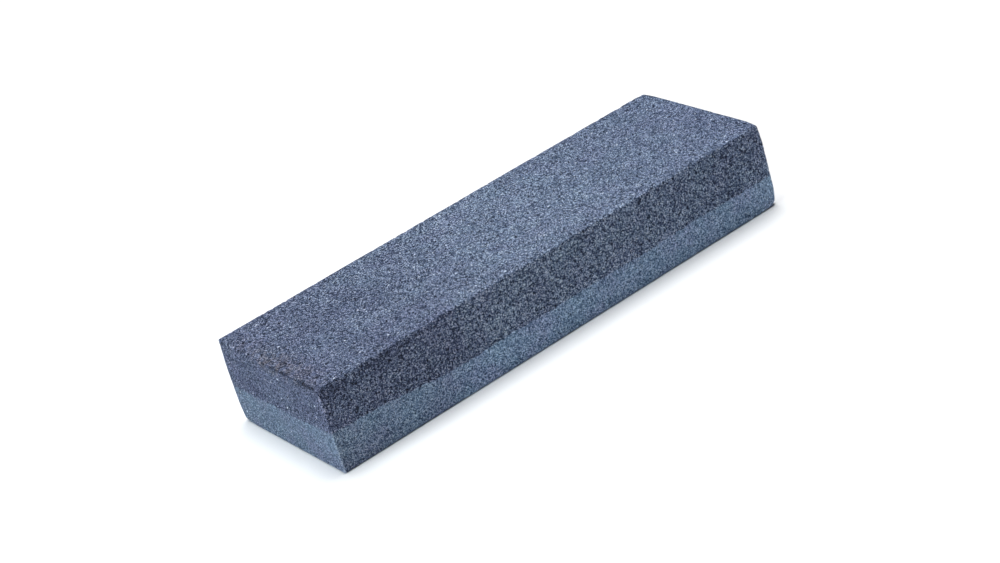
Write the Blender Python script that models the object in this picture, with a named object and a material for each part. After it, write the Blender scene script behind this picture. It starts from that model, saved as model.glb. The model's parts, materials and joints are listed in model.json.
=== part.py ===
"""Two-grit sharpening whetstone: a coarse layer fired onto a fine layer.

Metres, +Z up. The origin is at the centre of the resting face, +X runs along the stone.
"""

import math

import bmesh
import bpy
from mathutils import Vector

# Driving dimensions of the whole stone.
LENGTH = 0.150
WIDTH = 0.050
THICKNESS = 0.025

# Rounding of the twelve worn outer edges.
EDGE_RADIUS = 0.0008
EDGE_SEGMENTS = 3

# The fired seam between the layers. It lies at one height along most of the stone and swells up
# towards the -X end, where more of the fine mix was laid in the mould, most of all on the -Y side.
SEAM_HEIGHT = 0.0092
END_SWELL_BACK = 0.0017
END_SWELL_FRONT = 0.0028
END_SWELL_REACH = 0.028
SEAM_GAP = 0.0003
SEAM_CELL = 0.005

# Small ripples on the seam: (height, turns along the stone, turns across it, phase in degrees).
SEAM_RIPPLES = (
    (0.00016, 4.6, 0.4, 40.0),
    (0.00012, 2.3, 1.6, 210.0),
)

# Surface finish of the two mixes: colour, roughness and metallic value.
COARSE_FINISH = ((0.105, 0.130, 0.185, 1.0), 0.95, 0.0)
FINE_FINISH = ((0.155, 0.205, 0.275, 1.0), 0.88, 0.0)


def clear_scene():
    """Remove everything the start-up scene holds."""
    for obj in list(bpy.data.objects):
        bpy.data.objects.remove(obj, do_unlink=True)


def seam_height(x, y):
    """Height of the uneven seam above the resting face, at a point in plan."""
    along = x / LENGTH + 0.5
    across = 0.5 - y / WIDTH
    swell = END_SWELL_BACK + (END_SWELL_FRONT - END_SWELL_BACK) * across**2
    height = SEAM_HEIGHT + swell * math.exp(-((along * LENGTH / END_SWELL_REACH) ** 2))
    for ripple, turns_along, turns_across, phase in SEAM_RIPPLES:
        angle = math.tau * (turns_along * along + turns_across * across) - math.radians(phase)
        height += ripple * math.cos(angle)
    return height


def grid_lines(size, cell):
    """Evenly spaced cutting positions inside a side of the given size."""
    count = round(size / cell)
    return [size * (step / count - 0.5) for step in range(1, count)]


def cut_across(mesh, axis, places):
    """Cut the whole mesh with planes square to the axis, keeping both sides."""
    normal = Vector((0.0, 0.0, 0.0))
    normal[axis] = 1.0
    for place in places:
        everything = mesh.verts[:] + mesh.edges[:] + mesh.faces[:]
        bmesh.ops.bisect_plane(mesh, geom=everything, plane_co=normal * place, plane_no=normal)


def block(low, high):
    """A plain block in bmesh, full length and width, from height low to height high."""
    mesh = bmesh.new()
    bmesh.ops.create_cube(mesh, size=1.0)
    bmesh.ops.scale(mesh, verts=mesh.verts, vec=(LENGTH, WIDTH, high - low))
    bmesh.ops.translate(mesh, verts=mesh.verts, vec=(0.0, 0.0, (low + high) / 2.0))
    cut_across(mesh, 0, grid_lines(LENGTH, SEAM_CELL))
    cut_across(mesh, 1, grid_lines(WIDTH, SEAM_CELL))
    return mesh


def is_near(value, target):
    """True where a coordinate lies on a plane of the block."""
    return abs(value - target) < SEAM_GAP / 10.0


def join_flat_face(mesh, height):
    """Join the cells of the flat outer face into one face."""
    cells = [face for face in mesh.faces if all(is_near(vert.co.z, height) for vert in face.verts)]
    bmesh.ops.dissolve_faces(mesh, faces=cells, use_verts=False)


def round_outer_edges(mesh, outer_height):
    """Round the edges of the outer face and the four upright corners."""
    worn = []
    for edge in mesh.edges:
        ends = [vert.co for vert in edge.verts]
        on_end = all(is_near(abs(end.x), LENGTH / 2.0) for end in ends)
        on_side = all(is_near(abs(end.y), WIDTH / 2.0) for end in ends)
        on_outer = all(is_near(end.z, outer_height) for end in ends)
        if on_end + on_side + on_outer == 2:
            worn.append(edge)
    bmesh.ops.bevel(
        mesh,
        geom=worn,
        offset=EDGE_RADIUS,
        offset_type="OFFSET",
        segments=EDGE_SEGMENTS,
        profile=0.5,
        affect="EDGES",
        clamp_overlap=True,
    )


def layer(outer_height, seam_side):
    """One layer of the stone: flat at outer_height, uneven at the seam.

    seam_side is +1 for the layer above the seam and -1 for the layer below it.
    """
    flat_seam = SEAM_HEIGHT
    mesh = block(min(outer_height, flat_seam), max(outer_height, flat_seam))
    join_flat_face(mesh, outer_height)
    round_outer_edges(mesh, outer_height)
    for vert in mesh.verts:
        if is_near(vert.co.z, flat_seam):
            vert.co.z = seam_height(vert.co.x, vert.co.y) + seam_side * SEAM_GAP / 2.0
    bmesh.ops.recalc_face_normals(mesh, faces=mesh.faces)
    return mesh


def material(name, finish):
    """A Principled material from a colour, a roughness and a metallic value."""
    colour, roughness, metallic = finish
    result = bpy.data.materials.new(name)
    result.use_nodes = True
    shader = result.node_tree.nodes["Principled BSDF"]
    shader.inputs["Base Color"].default_value = colour
    shader.inputs["Roughness"].default_value = roughness
    shader.inputs["Metallic"].default_value = metallic
    result.diffuse_color = colour
    return result


def add_object(name, mesh, finish, parent):
    """Turn a bmesh into a named scene object with its own material."""
    data = bpy.data.meshes.new(name)
    mesh.to_mesh(data)
    mesh.free()
    data.materials.append(material(name, finish))
    data.shade_smooth()
    data.set_sharp_from_angle(angle=math.radians(35.0))
    obj = bpy.data.objects.new(name, data)
    obj.parent = parent
    bpy.context.scene.collection.objects.link(obj)
    return obj


def coarse_grit_layer(parent):
    """The upper layer: the coarse mix, for fast cutting."""
    add_object("coarse_grit_layer", layer(THICKNESS, 1.0), COARSE_FINISH, parent)


def fine_grit_layer(parent):
    """The lower layer: the fine mix, for finishing an edge."""
    add_object("fine_grit_layer", layer(0.0, -1.0), FINE_FINISH, parent)


def build():
    """Make the whole stone under one empty at its reference point."""
    clear_scene()
    stone = bpy.data.objects.new("whetstone", None)
    bpy.context.scene.collection.objects.link(stone)
    coarse_grit_layer(stone)
    fine_grit_layer(stone)


build()
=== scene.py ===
"""Looks of the two-grit sharpening whetstone.

Each CAD layer is replaced by a dense shell of the same size, with grain relief, pores, worn and
chipped edges, and a ragged seam between the two mixes. Metres, +Z up, in the frame of the CAD.
"""

import json
import math

import bmesh
import bpy
import numpy as np
from mathutils import Matrix, Vector
from mathutils.bvhtree import BVHTree

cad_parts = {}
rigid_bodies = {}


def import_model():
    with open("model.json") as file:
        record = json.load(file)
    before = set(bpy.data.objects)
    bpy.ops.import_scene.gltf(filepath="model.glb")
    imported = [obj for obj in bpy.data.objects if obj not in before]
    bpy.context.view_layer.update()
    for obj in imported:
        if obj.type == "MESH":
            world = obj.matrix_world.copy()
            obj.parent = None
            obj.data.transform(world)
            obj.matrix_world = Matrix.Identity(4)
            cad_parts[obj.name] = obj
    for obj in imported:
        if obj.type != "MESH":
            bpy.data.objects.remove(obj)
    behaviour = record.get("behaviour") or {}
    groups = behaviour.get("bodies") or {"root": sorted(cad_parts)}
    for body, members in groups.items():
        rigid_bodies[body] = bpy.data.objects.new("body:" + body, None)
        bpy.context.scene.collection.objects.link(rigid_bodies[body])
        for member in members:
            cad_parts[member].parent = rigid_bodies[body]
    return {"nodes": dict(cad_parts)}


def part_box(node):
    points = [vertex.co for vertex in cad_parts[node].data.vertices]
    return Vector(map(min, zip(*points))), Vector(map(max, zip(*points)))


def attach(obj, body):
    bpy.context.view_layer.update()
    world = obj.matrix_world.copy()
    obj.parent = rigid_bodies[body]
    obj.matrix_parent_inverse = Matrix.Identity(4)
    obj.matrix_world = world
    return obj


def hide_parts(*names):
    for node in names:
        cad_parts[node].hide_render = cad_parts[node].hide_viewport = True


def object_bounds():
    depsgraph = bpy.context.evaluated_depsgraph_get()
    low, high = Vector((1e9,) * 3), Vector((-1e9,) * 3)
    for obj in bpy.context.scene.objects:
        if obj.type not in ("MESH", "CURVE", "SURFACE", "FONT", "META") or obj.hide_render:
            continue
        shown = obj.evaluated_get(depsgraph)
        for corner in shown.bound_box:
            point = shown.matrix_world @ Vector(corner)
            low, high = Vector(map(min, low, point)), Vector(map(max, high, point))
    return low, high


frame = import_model()
cad_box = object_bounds()

COARSE = "coarse_grit_layer"
FINE = "fine_grit_layer"
MM = 0.001

LOW = np.array(cad_box[0])
HIGH = np.array(cad_box[1])
SIZE = HIGH - LOW
MIDDLE = (LOW + HIGH) / 2.0

# Shell lattice: the cell on the visible faces, how many times larger it is on the hidden seam face,
# and the angle from which an edge is shaded sharp.
CELL = 0.375 * MM
SEAM_STRIDE = 4
SHARP_ANGLE = math.radians(62.0)

# Worn edges: the least radius, and what slow wear and chips add to it. Chips are deeper at the top.
EDGE_RADIUS = 0.38 * MM
EDGE_WEAR = 0.18 * MM
EDGE_WEAR_LENGTH = 9.0 * MM
CHIP_DEPTH = 0.25 * MM
TOP_CHIP_DEPTH = 0.60 * MM
TOP_CHIP_REACH = 2.0 * MM
CHIP_LENGTH = 1.25 * MM
CHIP_THRESHOLD = 0.30

# The knocked corners: which way each lies from the middle, and what it adds to the radius.
WORN_CORNERS = (
    ((-1, 1, -1), 1.0 * MM),
    ((1, -1, -1), 1.4 * MM),
    ((1, -1, 1), 0.6 * MM),
    ((1, 1, 1), 0.6 * MM),
)
CORNER_REACH = 3.0 * MM

# Ragged seam: how far the two mixes reach into each other, at grain size and at clump size, and how
# far from the seam the two reliefs blend.
SEAM_GRAIN = 0.22 * MM
SEAM_GRAIN_LENGTH = 0.7 * MM
SEAM_CLUMP = 0.22 * MM
SEAM_CLUMP_LENGTH = 2.4 * MM
SEAM_BLEND = 1.2 * MM

# The CAD seam is read no nearer to the sides than this, clear of its rounded corners.
SEAM_INSET = 1.0 * MM

# Where the pressed block is out of square: which corner, how far it moves and how far this reaches.
LEANS = (
    ((-1, 1, 1), Vector((0.50, 0.0, 0.0)) * MM, 6.0 * MM),
    ((1, -1, 1), Vector((-0.30, 0.0, 0.0)) * MM, 4.0 * MM),
)

# Slow unevenness of the pressed faces.
SWAY_DEPTH = 0.10 * MM
SWAY_LENGTH = 24.0 * MM

# Grain relief of each mix: (grain depth, grain length, pore depth, pore length).
COARSE_RELIEF = (0.075 * MM, 0.48 * MM, 0.16 * MM, 0.9 * MM)
FINE_RELIEF = (0.035 * MM, 0.50 * MM, 0.06 * MM, 0.9 * MM)
PORE_THRESHOLD = 0.45

# Seeded noise: the size of its table, how it is turned away from the axes, and the seeds. A mix's
# pores use the seed after its grain's.
NOISE_PERIOD = 64
NOISE_TURN = np.array(Matrix.Rotation(math.radians(37.0), 3, Vector((1.0, 2.0, 3.0)).normalized()))
SEAM_GRAIN_SEED = 11
SEAM_CLUMP_SEED = 12
EDGE_WEAR_SEED = 21
CHIP_SEED = 22
SWAY_SEED = 31
COARSE_SEED = 41
FINE_SEED = 51


# ---------------------------------------------------------------- noise

def smooth_noise(points, length, seed):
    """Seeded noise from -1 to 1 at each point, which changes over about one length."""
    values = np.random.default_rng(seed).uniform(-1.0, 1.0, (NOISE_PERIOD,) * 3)
    scaled = points @ NOISE_TURN.T / length
    corner = np.floor(scaled).astype(int)
    part = scaled - corner
    part = part * part * (3.0 - 2.0 * part)
    total = np.zeros(len(points))
    for step in np.ndindex(2, 2, 2):
        weight = np.prod(np.where(step, part, 1.0 - part), axis=1)
        index = (corner + step) % NOISE_PERIOD
        total += weight * values[tuple(index.T)]
    return total


def above(noise, threshold):
    """The part of the noise above a threshold, rescaled to run from 0 to 1."""
    return np.clip((noise - threshold) / (1.0 - threshold), 0.0, 1.0)


# ---------------------------------------------------------------- seam

def node_tree_of(node):
    """A search tree over a CAD node's mesh."""
    mesh = frame["nodes"][node].data
    corners = [vert.co for vert in mesh.vertices]
    faces = [face.vertices for face in mesh.polygons]
    return BVHTree.FromPolygons(corners, faces)


def cad_seam(columns):
    """Height midway between the two CAD layers at each plan position (x, y)."""
    coarse_tree = node_tree_of(COARSE)
    fine_tree = node_tree_of(FINE)
    inside = np.clip(columns, LOW[:2] + SEAM_INSET, HIGH[:2] - SEAM_INSET)
    heights = []
    for x, y in inside:
        under = coarse_tree.ray_cast(Vector((x, y, LOW[2])), Vector((0.0, 0.0, 1.0)))[0]
        over = fine_tree.ray_cast(Vector((x, y, HIGH[2])), Vector((0.0, 0.0, -1.0)))[0]
        heights.append((under.z + over.z) / 2.0)
    return np.array(heights)


def seam_heights(columns):
    """The CAD seam, made ragged where grains and clumps of the two mixes interlock."""
    flat = np.column_stack((columns, np.zeros(len(columns))))
    ragged = SEAM_GRAIN * smooth_noise(flat, SEAM_GRAIN_LENGTH, SEAM_GRAIN_SEED)
    ragged += SEAM_CLUMP * smooth_noise(flat, SEAM_CLUMP_LENGTH, SEAM_CLUMP_SEED)
    return cad_seam(columns) + ragged


# ---------------------------------------------------------------- shells

class Lattice:
    """The surface points and faces of a box of cells. Layer 0 of the third axis is the seam."""

    def __init__(self, rows):
        across = SEAM_STRIDE * np.round(SIZE[:2] / CELL / SEAM_STRIDE).astype(int)
        self.cells = (int(across[0]), int(across[1]), rows)
        index = np.indices([count + 1 for count in self.cells])
        outer = (index[0] % self.cells[0] == 0) | (index[1] % self.cells[1] == 0) | (index[2] == rows)
        seam_corner = (index[0] % SEAM_STRIDE == 0) & (index[1] % SEAM_STRIDE == 0)
        half = SEAM_STRIDE // 2
        seam_centre = (index[0] % SEAM_STRIDE == half) & (index[1] % SEAM_STRIDE == half)
        from_rim = np.minimum(index, np.reshape(self.cells, (3, 1, 1, 1)) - index)[:2].min(axis=0)
        on_seam = seam_corner | (seam_centre & (from_rim < SEAM_STRIDE))
        used = outer | ((index[2] == 0) & on_seam)
        self.ids = np.full(used.shape, -1)
        self.ids[used] = np.arange(used.sum())
        self.points = np.argwhere(used)
        self.on_shell = outer[used]

    def quads(self):
        """Every small quad on the outer face and the four sides, facing outwards."""
        ids = self.ids
        sheets = (
            (ids[:, :, -1], False),
            (ids[0, :, :], True),
            (ids[-1, :, :], False),
            (ids[:, 0, :], False),
            (ids[:, -1, :], True),
        )
        faces = []
        for sheet, flip in sheets:
            loops = (sheet[:-1, :-1], sheet[1:, :-1], sheet[1:, 1:], sheet[:-1, 1:])
            corners = np.stack(loops, axis=-1).reshape(-1, 4)
            faces.extend((corners[:, ::-1] if flip else corners).tolist())
        return faces

    def seam_faces(self):
        """Large cells on the seam face. A cell at the rim is a fan that meets every small point."""
        sheet = self.ids[:, :, 0]
        faces = []
        for i in range(0, self.cells[0], SEAM_STRIDE):
            for j in range(0, self.cells[1], SEAM_STRIDE):
                block = sheet[i:i + SEAM_STRIDE + 1, j:j + SEAM_STRIDE + 1]
                border = [*block[0, :-1], *block[:-1, -1], *block[-1, :0:-1], *block[:0:-1, 0]]
                loop = [int(corner) for corner in border if corner >= 0]
                centre = int(block[SEAM_STRIDE // 2, SEAM_STRIDE // 2])
                if centre < 0:
                    faces.append(loop)
                else:
                    pairs = zip(loop, loop[1:] + loop[:1])
                    faces.extend([first, second, centre] for first, second in pairs)
        return faces


def near_corner(points, direction, reach):
    """How near each point is to the corner that lies in a direction: 1 there, fading over a reach."""
    corner = MIDDLE + np.array(direction) * SIZE / 2.0
    return np.exp(-((np.linalg.norm(points - corner, axis=1) / reach) ** 2))


def edge_radius(points):
    """Local radius of the worn edges."""
    wear_noise = smooth_noise(points, EDGE_WEAR_LENGTH, EDGE_WEAR_SEED)
    radius = EDGE_RADIUS + EDGE_WEAR * (0.5 + 0.5 * wear_noise)
    near_top = np.clip(1.0 - (HIGH[2] - points[:, 2]) / TOP_CHIP_REACH, 0.0, 1.0)
    chip_depth = CHIP_DEPTH + (TOP_CHIP_DEPTH - CHIP_DEPTH) * near_top
    radius += chip_depth * above(smooth_noise(points, CHIP_LENGTH, CHIP_SEED), CHIP_THRESHOLD)
    for direction, wear in WORN_CORNERS:
        radius += wear * near_corner(points, direction, CORNER_REACH)
    return radius


def grain_depth(points, relief, seed):
    """How far the grain and the pores of one mix lie below the flat face."""
    grain, grain_length, pore, pore_length = relief
    depth = grain * (0.5 + 0.5 * smooth_noise(points, grain_length, seed))
    return depth + pore * above(smooth_noise(points, pore_length, seed + 1), PORE_THRESHOLD)


def surface_depth(points, relief, seed, from_seam):
    """Whole relief below the flat face. At the seam both layers share the mean of their reliefs."""
    sway = SWAY_DEPTH * (0.5 + 0.5 * smooth_noise(points, SWAY_LENGTH, SWAY_SEED))
    coarse = grain_depth(points, COARSE_RELIEF, COARSE_SEED)
    fine = grain_depth(points, FINE_RELIEF, FINE_SEED)
    shared = (coarse + fine) / 2.0
    own = grain_depth(points, relief, seed)
    blend = np.clip(from_seam / SEAM_BLEND, 0.0, 1.0)
    return sway + shared + (own - shared) * blend


def shell_points(lattice, outer_height, relief, seed):
    """Where each lattice point lies on the worn, grainy layer."""
    cells = np.array(lattice.cells[:2])
    plan = LOW[:2] + lattice.points[:, :2] / cells * SIZE[:2]
    columns, column_of = np.unique(lattice.points[:, :2], axis=0, return_inverse=True)
    seam = seam_heights(LOW[:2] + columns / cells * SIZE[:2])[column_of.ravel()]
    rise = lattice.points[:, 2] / lattice.cells[2]
    height = seam + rise * (outer_height - seam)
    points = np.column_stack((plan, height))

    radius = edge_radius(points)
    core = np.clip(points, LOW + radius[:, None], HIGH - radius[:, None])
    if outer_height > MIDDLE[2]:
        core[:, 2] = np.minimum(points[:, 2], outer_height - radius)
    else:
        core[:, 2] = np.maximum(points[:, 2], outer_height + radius)
    outward = points - core
    reach = np.maximum(np.linalg.norm(outward, axis=1, keepdims=True), 1e-9)
    depth = surface_depth(points, relief, seed, np.abs(points[:, 2] - seam))
    worn = core + outward / reach * (radius - depth)[:, None]
    worn = np.where(lattice.on_shell[:, None], worn, points)
    for direction, shift, lean_reach in LEANS:
        worn += near_corner(points, direction, lean_reach)[:, None] * np.array(shift)
    return worn


def layer_shell(name, node, outer_height, relief, seed, material):
    """One layer of the stone as a closed shell that replaces its CAD node."""
    thickness = abs(outer_height - np.mean([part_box(COARSE)[0].z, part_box(FINE)[1].z]))
    lattice = Lattice(int(round(thickness / CELL)))
    points = shell_points(lattice, outer_height, relief, seed)
    data = bpy.data.meshes.new(name)
    data.from_pydata(points.tolist(), [], lattice.quads() + lattice.seam_faces())
    mesh = bmesh.new()
    mesh.from_mesh(data)
    bmesh.ops.recalc_face_normals(mesh, faces=mesh.faces)
    mesh.to_mesh(data)
    mesh.free()
    data.shade_smooth()
    data.set_sharp_from_angle(angle=SHARP_ANGLE)
    data.materials.append(material)
    shell = bpy.data.objects.new(name, data)
    bpy.context.scene.collection.objects.link(shell)
    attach(shell, "root")
    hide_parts(node)
    return shell


# ---------------------------------------------------------------- material values

# From here to the looks, lengths are in millimetres and colours are linear.

# Slow colour factor along the stone, a painted light falloff towards the ends with a slight tint:
# the length of its wander, and the part of the stone that it spans.
FALLOFF_WANDER_LENGTH = 14.0
FALLOFF_WANDER = 0.25

# Slow warmer and cooler patches.
PATCH_LENGTH = 7.0

# Where the noise of a pore starts and where it is deepest.
PORE_SPAN = (0.58, 0.72)

# A line along an edge, for the lighter upright edges and the darker line on the -X end: the noise
# at which it is thinnest and widest, and its thinnest against its widest.
LINE_SPAN = (0.30, 0.65)
LEAST_LINE = 0.05

# Lighter along the four upright edges: fresh rubbed grain and a painted highlight.
RUB_HIGHLIGHT_LENGTH = 1.6
RUB_HIGHLIGHT_WIDTH = 1.0
RUB_HIGHLIGHT_LIFT = 0.45

# A darker broken line on the -X end's upper edge. It fades in between two places across the stone.
ARRIS_LINE_LENGTH = 3.2
ARRIS_LINE_SPAN = (0.15, 0.85)
ARRIS_LINE_WIDTH = 0.9
ARRIS_LINE_DARK = 0.5
ARRIS_LINE_FADE = (7.0, 2.0)

# Broken patches: the noise where they start and are full, and the part of their reach that is full.
BREAK_SPAN = (0.38, 0.62)
PATCH_CORE = 0.2

# Darker patches on the -Y side, just below its upper edge near the -X end.
DARK_PATCH_PLACE = (LOW[0] / MM + 12.0, LOW[1] / MM, HIGH[2] / MM - 2.2)
DARK_PATCH_REACH = (30.0, 3.0, 3.2)
DARK_PATCH_LENGTH = 2.0
DARK_PATCH_DARK = 0.16

# Old oil that has browned the upper edge of the -X end.
STAIN_PLACE = (LOW[0] / MM, -3.0, HIGH[2] / MM)
STAIN_REACH = (9.0, 27.0, 3.0)
STAIN_LENGTH = 1.8
STAIN_CAST = (1.00, 0.82, 0.66, 1.0)

# Facets with a painted glint: the painted highlight colour, the part of their size that is full, and
# how much smoother they are.
PAINTED_GLINT_COLOUR = (0.78, 0.87, 1.00, 1.0)
FACET_CORE = 0.6
FACET_GLOSS = 0.4

# Dark gaps are rougher than the mix and bright grains are smoother.
GAP_ROUGHER = 0.05
GRAIN_SMOOTHER = 0.10
SPECULAR = 0.35


# ---------------------------------------------------------------- material nodes

class Nodes:
    """Short calls for building a shader node tree."""

    def __init__(self, tree):
        self.tree = tree

    def add(self, kind, **settings):
        node = self.tree.nodes.new("ShaderNode" + kind)
        for key, value in settings.items():
            setattr(node, key, value)
        return node

    def feed(self, socket, value):
        if isinstance(value, bpy.types.NodeSocket):
            self.tree.links.new(value, socket)
        else:
            socket.default_value = value

    def math(self, operation, first, second=0.0, third=0.0, clamp=False):
        node = self.add("Math", operation=operation, use_clamp=clamp)
        for socket, value in zip(node.inputs, (first, second, third)):
            self.feed(socket, value)
        return node.outputs[0]

    def vector(self, operation, first, second=(0.0, 0.0, 0.0)):
        node = self.add("VectorMath", operation=operation)
        self.feed(node.inputs[0], first)
        self.feed(node.inputs[1], second)
        return node.outputs["Value" if operation == "LENGTH" else "Vector"]

    def scaled(self, vector, factor):
        node = self.add("VectorMath", operation="SCALE")
        self.feed(node.inputs[0], vector)
        node.inputs["Scale"].default_value = factor
        return node.outputs["Vector"]

    def component(self, vector, axis):
        node = self.add("SeparateXYZ")
        self.feed(node.inputs[0], vector)
        return node.outputs[axis]

    def noise(self, vector, length, detail=0.0):
        node = self.add("TexNoise")
        self.feed(node.inputs["Vector"], vector)
        node.inputs["Scale"].default_value = 1.0 / length
        node.inputs["Detail"].default_value = detail
        return node.outputs["Fac"]

    def cells(self, vector, length):
        node = self.add("TexVoronoi")
        self.feed(node.inputs["Vector"], vector)
        node.inputs["Scale"].default_value = 1.0 / length
        return node.outputs["Distance"], node.outputs["Color"]

    def span(self, value, from_low, from_high, to_low=0.0, to_high=1.0):
        node = self.add("MapRange")
        for socket, number in zip(node.inputs, (value, from_low, from_high, to_low, to_high)):
            self.feed(socket, number)
        return node.outputs[0]

    def channel(self, colour, index):
        node = self.add("SeparateColor")
        self.feed(node.inputs[0], colour)
        return node.outputs[index]

    def mix(self, factor, first, second, blend="MIX"):
        node = self.add("Mix", data_type="RGBA", blend_type=blend)
        self.feed(node.inputs["Factor"], factor)
        self.feed(node.inputs["A"], first)
        self.feed(node.inputs["B"], second)
        return node.outputs["Result"]

    def ramp(self, value, stops):
        node = self.add("ValToRGB")
        self.feed(node.inputs[0], value)
        elements = node.color_ramp.elements
        while len(elements) < len(stops):
            elements.new(0.5)
        for element, (place, colour) in zip(elements, stops):
            element.position = place
            element.color = colour
        return node.outputs[0]


def speckle(nodes, place, look):
    """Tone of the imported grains, from 0 in a deep pore to 1 on a bright grain."""
    gap, grain_colour = nodes.cells(place, look["grain"])
    grain = nodes.channel(grain_colour, 0)
    dust = nodes.noise(place, look["dust"], detail=1.0)
    drift = nodes.noise(place, look["drift"], detail=2.0)
    tone = 0.5
    for value, middle, contrast in (
        (grain, 0.5, look["grain_contrast"]),
        (dust, 0.5, look["dust_contrast"]),
        (gap, 0.45, -look["gap_contrast"]),
        (drift, 0.5, look["drift_contrast"]),
    ):
        tone = nodes.math("MULTIPLY_ADD", nodes.math("SUBTRACT", value, middle), contrast, tone)
    pore = nodes.span(nodes.noise(place, look["pore"]), *PORE_SPAN)
    return nodes.math("MULTIPLY_ADD", pore, -look["pore_depth"], tone)


def tint_and_painted_falloff(nodes, place, look):
    """Colour factor from the -X end to the +X end: a painted light falloff towards the ends, with a
    slight tint.
    """
    wander = nodes.math("SUBTRACT", nodes.noise(place, FALLOFF_WANDER_LENGTH, detail=2.0), 0.5)
    along = nodes.span(nodes.component(place, 0), LOW[0] / MM, HIGH[0] / MM)
    return nodes.ramp(nodes.math("MULTIPLY_ADD", wander, FALLOFF_WANDER, along), look["tint_and_falloff"])


def edge_line(nodes, first, second, width, wander):
    """1 on the line where two faces meet and 0 beyond its width, which wanders up to the given one.

    first and second are the distances to the two faces.
    """
    local = nodes.span(wander, *LINE_SPAN, width * LEAST_LINE, width)
    return nodes.span(nodes.math("MAXIMUM", first, second), local, 0.0)


def rubbed_edge_highlight(nodes, place):
    """1 along the four upright edges, which are painted lighter for rubbed grain and a painted
    highlight, and 0 on the faces.
    """
    offset = nodes.vector("ABSOLUTE", nodes.vector("SUBTRACT", place, MIDDLE / MM))
    inside = nodes.vector("SUBTRACT", SIZE / MM / 2.0, offset)
    wander = nodes.noise(place, RUB_HIGHLIGHT_LENGTH)
    return edge_line(nodes, nodes.component(inside, 0), nodes.component(inside, 1), RUB_HIGHLIGHT_WIDTH, wander)


def dark_arris_line(nodes, place):
    """1 in the dark broken line along the -Y half of the -X end's upper edge, and 0 elsewhere."""
    from_end = nodes.math("SUBTRACT", nodes.component(place, 0), LOW[0] / MM)
    from_top = nodes.math("SUBTRACT", HIGH[2] / MM, nodes.component(place, 2))
    wander = nodes.span(nodes.noise(place, ARRIS_LINE_LENGTH, detail=1.0), *ARRIS_LINE_SPAN)
    line = edge_line(nodes, from_end, from_top, ARRIS_LINE_WIDTH, wander)
    return nodes.math("MULTIPLY", line, nodes.span(nodes.component(place, 1), *ARRIS_LINE_FADE))


def broken_patch(nodes, place, centre, reach, length):
    """Patches from 0 to 1 around a centre, which thin out to 0 at the reach along each axis."""
    inside = nodes.vector("DIVIDE", nodes.vector("SUBTRACT", place, centre), reach)
    patchy = nodes.span(nodes.noise(place, length, detail=2.0), *BREAK_SPAN)
    nearness = nodes.span(nodes.vector("LENGTH", inside), 1.0, PATCH_CORE)
    return nodes.math("MULTIPLY", nearness, patchy)


def painted_glints_and_gloss(nodes, place, look):
    """Rare facets, from 0 to 1, which get a near-white painted highlight in the colour and a smoother
    surface.
    """
    gap, facet_colour = nodes.cells(place, look["facet"])
    chosen = nodes.span(nodes.channel(facet_colour, 1), 1.0 - look["facet_share"], 1.0)
    centre = nodes.span(gap, look["facet_size"], look["facet_size"] * FACET_CORE)
    return nodes.math("MULTIPLY", nodes.math("POWER", chosen, 0.5), centre)


def grit_material(name, look):
    """Fired abrasive: speckled grains, slow tints with a painted light falloff, rubbed edges with a
    painted highlight, a darker edge line and patches, a stain, and facets with painted glints.
    """
    material = bpy.data.materials.new(name)
    material.use_nodes = True
    nodes = Nodes(material.node_tree)
    shader = material.node_tree.nodes["Principled BSDF"]
    place = nodes.scaled(nodes.add("TexCoord").outputs["Object"], 1.0 / MM)

    tone = speckle(nodes, place, look)
    # The upright edges are painted lighter: rubbed grain and a painted highlight.
    tone = nodes.math("MULTIPLY_ADD", rubbed_edge_highlight(nodes, place), RUB_HIGHLIGHT_LIFT, tone)
    # A darker broken line is painted along the -X end's upper edge.
    tone = nodes.math("MULTIPLY_ADD", dark_arris_line(nodes, place), -ARRIS_LINE_DARK, tone)
    # Darker patches are painted just below the -Y upper edge near the -X end.
    clumps = broken_patch(nodes, place, DARK_PATCH_PLACE, DARK_PATCH_REACH, DARK_PATCH_LENGTH)
    tone = nodes.math("MULTIPLY_ADD", clumps, -DARK_PATCH_DARK, tone)
    colour = nodes.ramp(tone, look["stops"])
    # Painted light falloff: darker towards the ends of the stone, with a slight tint.
    colour = nodes.mix(1.0, colour, tint_and_painted_falloff(nodes, place, look), "MULTIPLY")
    patches = nodes.ramp(nodes.noise(place, PATCH_LENGTH, detail=2.0), look["patches"])
    colour = nodes.mix(1.0, colour, patches, "MULTIPLY")
    stain = broken_patch(nodes, place, STAIN_PLACE, STAIN_REACH, STAIN_LENGTH)
    colour = nodes.mix(stain, colour, nodes.mix(1.0, colour, STAIN_CAST, "MULTIPLY"))
    # Painted glints: rare facets get a near-white painted highlight in the colour and are also made
    # smoother.
    glint_paint_and_gloss = painted_glints_and_gloss(nodes, place, look)
    colour = nodes.mix(glint_paint_and_gloss, colour, PAINTED_GLINT_COLOUR)
    nodes.feed(shader.inputs["Base Color"], colour)

    base = look["roughness"]
    rough = nodes.span(tone, 0.0, 1.0, base + GAP_ROUGHER, base - GRAIN_SMOOTHER)
    rough = nodes.math("MULTIPLY_ADD", glint_paint_and_gloss, -FACET_GLOSS, rough, clamp=True)
    nodes.feed(shader.inputs["Roughness"], rough)
    shader.inputs["Specular IOR Level"].default_value = SPECULAR

    bump = nodes.add("Bump")
    bump.inputs["Strength"].default_value = look["bump"]
    bump.inputs["Distance"].default_value = look["bump_depth"]
    nodes.feed(bump.inputs["Height"], tone)
    nodes.feed(shader.inputs["Normal"], bump.outputs[0])
    return material


# The look of each mix. grain, dust, drift, pore and facet are the lengths of its patterns, and each
# contrast or depth is what a pattern adds to the tone. stops give the colour of each tone.
# tint_and_falloff is a colour factor from the -X end to the +X end, which paints light falling off
# towards the ends and adds a slight tint, and patches is one for the slow patches. The facets get
# painted glints. bump_depth alone is in metres.

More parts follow.
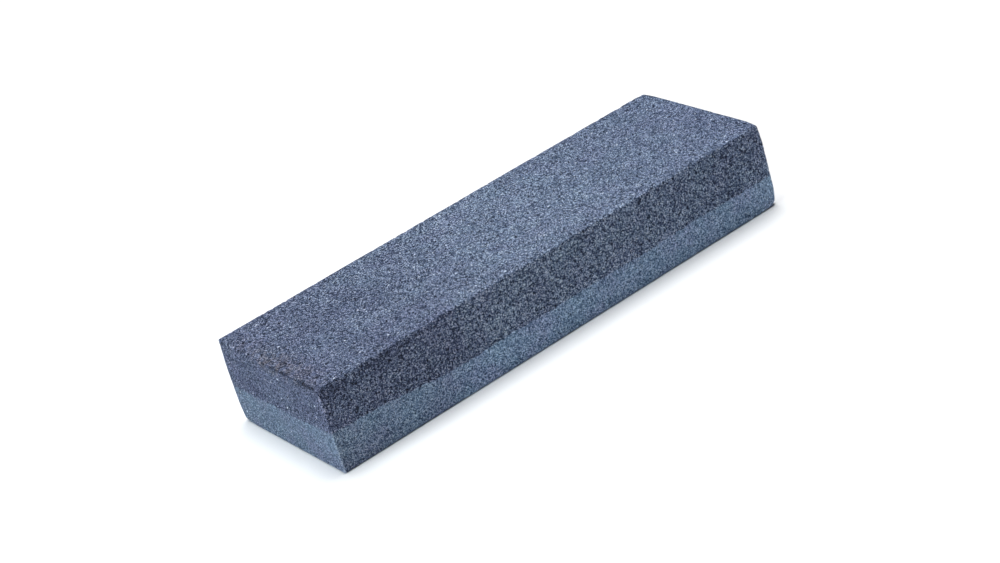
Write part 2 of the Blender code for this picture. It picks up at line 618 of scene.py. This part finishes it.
COARSE_LOOK = {
    "grain": 0.23,
    "grain_contrast": 0.88,
    "dust": 0.27,
    "dust_contrast": 1.11,
    "gap_contrast": 0.5,
    "drift": 14.0,
    "drift_contrast": 0.14,
    "pore": 0.7,
    "pore_depth": 0.29,
    "stops": (
        (0.00, (0.005, 0.007, 0.014, 1.0)),
        (0.30, (0.028, 0.045, 0.093, 1.0)),
        (0.60, (0.140, 0.190, 0.309, 1.0)),
        (0.85, (0.375, 0.460, 0.635, 1.0)),
        (1.00, (0.680, 0.760, 0.880, 1.0)),
    ),
    # Darker towards both ends: painted light falloff, with a slight tint.
    "tint_and_falloff": (
        (0.00, (0.69, 0.66, 0.72, 1.0)),
        (0.25, (0.80, 0.79, 0.82, 1.0)),
        (0.55, (1.02, 1.04, 1.03, 1.0)),
        (1.00, (0.87, 0.89, 0.94, 1.0)),
    ),
    "patches": (
        (0.30, (1.025, 0.985, 1.015, 1.0)),
        (0.50, (1.0, 1.0, 1.0, 1.0)),
        (0.70, (0.975, 1.015, 0.995, 1.0)),
    ),
    "facet": 1.5,
    "facet_share": 0.11,
    "facet_size": 0.22,
    "roughness": 0.92,
    "bump": 1.0,
    "bump_depth": 0.12 * MM,
}

FINE_LOOK = {
    "grain": 0.23,
    "grain_contrast": 0.84,
    "dust": 0.27,
    "dust_contrast": 1.05,
    "gap_contrast": 0.5,
    "drift": 9.0,
    "drift_contrast": 0.09,
    "pore": 0.6,
    "pore_depth": 0.15,
    "stops": (
        (0.00, (0.022, 0.036, 0.068, 1.0)),
        (0.35, (0.090, 0.142, 0.240, 1.0)),
        (0.65, (0.243, 0.348, 0.546, 1.0)),
        (1.00, (0.560, 0.690, 0.860, 1.0)),
    ),
    # Darker at the -X end: painted light falloff, with a slight warm tint.
    "tint_and_falloff": (
        (0.00, (0.72, 0.69, 0.655, 1.0)),
        (0.30, (1.03, 1.05, 1.04, 1.0)),
        (1.00, (1.03, 1.05, 1.04, 1.0)),
    ),
    "patches": (
        (0.30, (1.07, 0.97, 1.02, 1.0)),
        (0.50, (1.0, 1.0, 1.0, 1.0)),
        (0.70, (0.96, 1.01, 0.99, 1.0)),
    ),
    "facet": 1.8,
    "facet_share": 0.07,
    "facet_size": 0.20,
    "roughness": 0.88,
    "bump": 0.5,
    "bump_depth": 0.07 * MM,
}


# ---------------------------------------------------------------- camera, light and floor

# How strongly the white world lights the stone, against 1 for what the camera sees of it.
WORLD_LIGHT = 0.03

FLOOR_RADIUS = 4.0
FLOOR_COLOUR = (0.89, 0.89, 0.89, 1.0)
FLOOR_GAP = 0.02 * MM


def camera():
    """A long lens, looking down over the near corner and rolled along the stone."""
    azimuth, elevation, roll = (math.radians(angle) for angle in (-29.27, 26.56, -17.04))
    distance = 653.1 * MM
    aim_right, aim_up = -1.35 * MM, -3.13 * MM
    back = Vector((math.sin(azimuth) * math.cos(elevation), -math.cos(azimuth) * math.cos(elevation),
                   math.sin(elevation)))
    turn = back.to_track_quat("Z", "Y") @ Matrix.Rotation(roll, 3, "Z").to_quaternion()
    data = bpy.data.cameras.new("camera")
    data.sensor_width = 36.0
    data.lens = 87.54
    data.clip_start = 0.01
    view = bpy.data.objects.new("camera", data)
    view.rotation_mode = "QUATERNION"
    view.rotation_quaternion = turn
    view.location = Vector(MIDDLE) + turn @ Vector((aim_right, aim_up, distance))
    bpy.context.scene.collection.objects.link(view)
    bpy.context.scene.camera = view


def sky_light(name, direction, spread, strength):
    """A distant light with soft shadows, which lights the floor evenly out to the horizon."""
    data = bpy.data.lights.new(name, "SUN")
    data.energy = strength
    data.angle = math.radians(spread)
    light = bpy.data.objects.new(name, data)
    light.rotation_euler = Vector(direction).to_track_quat("Z", "Y").to_euler()
    bpy.context.scene.collection.objects.link(light)


def softbox(name, place, size, power, colour):
    """A square studio light that faces the middle of the stone."""
    data = bpy.data.lights.new(name, "AREA")
    data.color = colour
    data.shape = "SQUARE"
    data.size = size
    data.energy = power
    light = bpy.data.objects.new(name, data)
    light.location = place
    light.rotation_euler = (light.location - Vector(MIDDLE)).to_track_quat("Z", "Y").to_euler()
    bpy.context.scene.collection.objects.link(light)


def lights():
    """One wide overhead light, and a weak bluish one towards the -X end."""
    sky_light("overhead", direction=(0.10, 0.10, 0.79), spread=41.0, strength=3.5)
    softbox("end_fill", place=(-0.55, -0.02, 0.35), size=0.30, power=2.3, colour=(0.80, 0.92, 1.0))


def world():
    """White for the camera, dim for the light that it gives."""
    result = bpy.data.worlds.new("studio")
    result.use_nodes = True
    nodes = Nodes(result.node_tree)
    background = result.node_tree.nodes["Background"]
    background.inputs["Color"].default_value = (1.0, 1.0, 1.0, 1.0)
    seen = nodes.add("LightPath").outputs["Is Camera Ray"]
    strength = nodes.span(seen, 0.0, 1.0, WORLD_LIGHT, 1.0)
    nodes.feed(background.inputs["Strength"], strength)
    bpy.context.scene.world = result


def floor():
    """A wide pale sheet under the stone."""
    mesh = bmesh.new()
    bmesh.ops.create_circle(mesh, cap_ends=True, segments=96, radius=FLOOR_RADIUS)
    data = bpy.data.meshes.new("floor")
    mesh.to_mesh(data)
    mesh.free()
    material = bpy.data.materials.new("floor")
    material.use_nodes = True
    shader = material.node_tree.nodes["Principled BSDF"]
    shader.inputs["Base Color"].default_value = FLOOR_COLOUR
    shader.inputs["Roughness"].default_value = 1.0
    shader.inputs["Specular IOR Level"].default_value = 0.0
    data.materials.append(material)
    sheet = bpy.data.objects.new("floor", data)
    sheet.location.z = LOW[2] - FLOOR_GAP
    bpy.context.scene.collection.objects.link(sheet)


def whetstone():
    """Both layers of the stone."""
    coarse = layer_shell("coarse_layer", COARSE, HIGH[2], COARSE_RELIEF, COARSE_SEED,
                         grit_material("coarse_grit", COARSE_LOOK))
    fine = layer_shell("fine_layer", FINE, LOW[2], FINE_RELIEF, FINE_SEED,
                       grit_material("fine_grit", FINE_LOOK))


bpy.context.scene.view_settings.view_transform = "Standard"
camera()
world()
floor()
lights()
whetstone()
